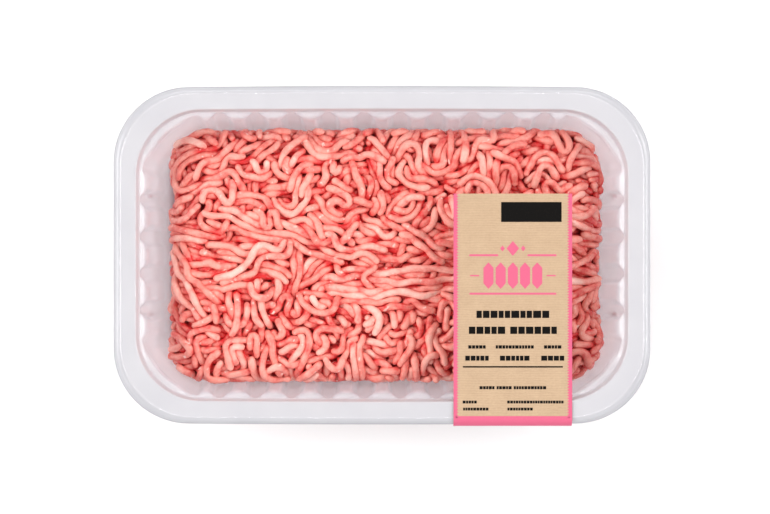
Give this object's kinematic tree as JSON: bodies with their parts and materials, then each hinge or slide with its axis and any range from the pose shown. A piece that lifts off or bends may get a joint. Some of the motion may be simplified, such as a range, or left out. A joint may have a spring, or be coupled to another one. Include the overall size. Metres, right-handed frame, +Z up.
{
  "type": "sealed mince tray pack",
  "caption": "Rectangular fluted retail tray with rounded corners and a rolled rim, filled with minced meat, sealed with clear film, with a paper label folded over the front rim.",
  "frame": {"origin": "middle of the tray's underside, the face that it stands on", "axes": "+X along the long side, +Z up through the film, -Y towards the labelled front edge"},
  "size_m": [0.23, 0.1457, 0.0507],
  "materials": {
    "tray_plastic": "milky see-through plastic, glossy",
    "mince_meat": "moist minced meat, coral pink",
    "clear_film": "clear lidding film",
    "label_paper": "matt ribbed paper, beige"
  },
  "bodies": {
    "root": {"tray": "tray_plastic", "mince": "mince_meat", "film": "clear_film", "label": "label_paper"}
  },
  "joints": []
}
